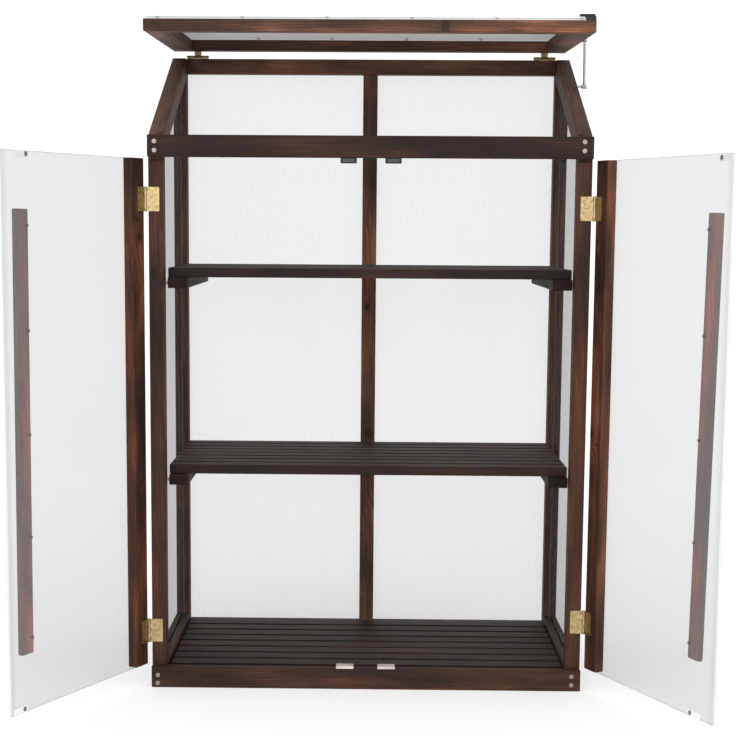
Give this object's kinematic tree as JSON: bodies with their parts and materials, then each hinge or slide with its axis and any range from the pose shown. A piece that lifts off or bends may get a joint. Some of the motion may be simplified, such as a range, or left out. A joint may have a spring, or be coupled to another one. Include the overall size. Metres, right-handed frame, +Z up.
{
  "type": "wooden mini greenhouse",
  "caption": "Upright wooden mini greenhouse cabinet with slatted shelves, clear twin-wall sheets, hinged double doors and a sloping lift-up lid held by a stay.",
  "frame": {"origin": "middle of the underside of the front bottom rail, on the ground", "axes": "+X to the right seen from the front, +Y to the rear, +Z up"},
  "size_m": [1.0924, 0.7592, 1.1414],
  "materials": {
    "stained_wood": "dark brown stained softwood, matt, sawn and lightly planed",
    "twin_wall_sheet": "translucent twin-wall sheet, slightly hazy",
    "hinge_brass": "brass-plated pressed steel",
    "screw_steel": "zinc-plated screws",
    "stay_steel": "plain bright steel rod",
    "bright_steel": "bright zinc-plated sheet steel",
    "catch_steel": "magnet and pole plates",
    "black_plastic": "black moulded plastic"
  },
  "bodies": {
    "cabinet": {"bar_screws": "screw_steel", "bottom_rail_front": "stained_wood", "bottom_rail_left": "stained_wood", "bottom_rail_right": "stained_wood", "catch_housings": "black_plastic", "catch_magnets": "catch_steel", "catch_plates": "bright_steel", "frame_screws": "screw_steel", "hinge_leaves_fixed": "hinge_brass", "hinge_pins": "hinge_brass", "hinge_screws": "hinge_brass", "post_front_left": "stained_wood", "post_front_right": "stained_wood", "post_rear_left": "stained_wood", "post_rear_right": "stained_wood", "rafter_left": "stained_wood", "rafter_right": "stained_wood", "rear_bottom_rail": "stained_wood", "rear_mullion": "stained_wood", "rear_sheet_left": "twin_wall_sheet", "rear_sheet_right": "twin_wall_sheet", "rear_top_rail": "stained_wood", "shelf_bearers_bottom": "stained_wood", "shelf_bearers_middle": "stained_wood", "shelf_bearers_upper": "stained_wood", "shelf_pins": "screw_steel", "shelf_screws": "screw_steel", "shelf_slats_bottom": "stained_wood", "shelf_slats_middle": "stained_wood", "shelf_slats_upper": "stained_wood", "side_sheet_left": "twin_wall_sheet", "side_sheet_right": "twin_wall_sheet", "stay_peg": "stay_steel", "top_bar_front": "stained_wood"},
    "door_left": {"door_left_hinge_leaves": "hinge_brass", "door_left_hinge_screws": "hinge_brass", "door_left_screws": "screw_steel", "door_left_sheet": "twin_wall_sheet", "door_left_stile": "stained_wood", "door_left_strikes": "bright_steel", "door_left_strip": "stained_wood"},
    "door_right": {"door_right_hinge_leaves": "hinge_brass", "door_right_hinge_screws": "hinge_brass", "door_right_screws": "screw_steel", "door_right_sheet": "twin_wall_sheet", "door_right_stile": "stained_wood", "door_right_strikes": "bright_steel", "door_right_strip": "stained_wood"},
    "lid": {"lid_rail_front": "stained_wood", "lid_rail_rear": "stained_wood", "lid_rail_left": "stained_wood", "lid_rail_right": "stained_wood", "lid_sheet": "twin_wall_sheet", "lid_screws": "screw_steel", "lid_dowels": "stained_wood", "lid_hinge_leaves": "hinge_brass", "lid_hinge_screws": "hinge_brass", "lid_clip": "black_plastic", "stay_pivot": "stay_steel"},
    "stay": {"stay_rod": "stay_steel"}
  },
  "joints": [
    {"name": "door_left_hinge", "type": "hinge", "parent": "cabinet", "child": "door_left", "pos_m": [-0.37467, 0.00568, 0.4662], "axis": [0, 0, 1], "range_deg": [-64, 115.5]},
    {"name": "door_right_hinge", "type": "hinge", "parent": "cabinet", "child": "door_right", "pos_m": [0.37467, 0.00568, 0.471], "axis": [0, 0, -1], "range_deg": [-66, 113.1]},
    {"name": "lid_hinge", "type": "hinge", "parent": "cabinet", "child": "lid", "pos_m": [0, 0.4315, 1.1067], "axis": [1, 0, 0], "range_deg": [-95, 20.7]},
    {"name": "stay_pivot", "type": "hinge", "parent": "lid", "child": "stay", "pos_m": [0.387, 0.3065, 1.1282], "axis": [1, 0, 0], "range_deg": [-95, 80]}
  ]
}
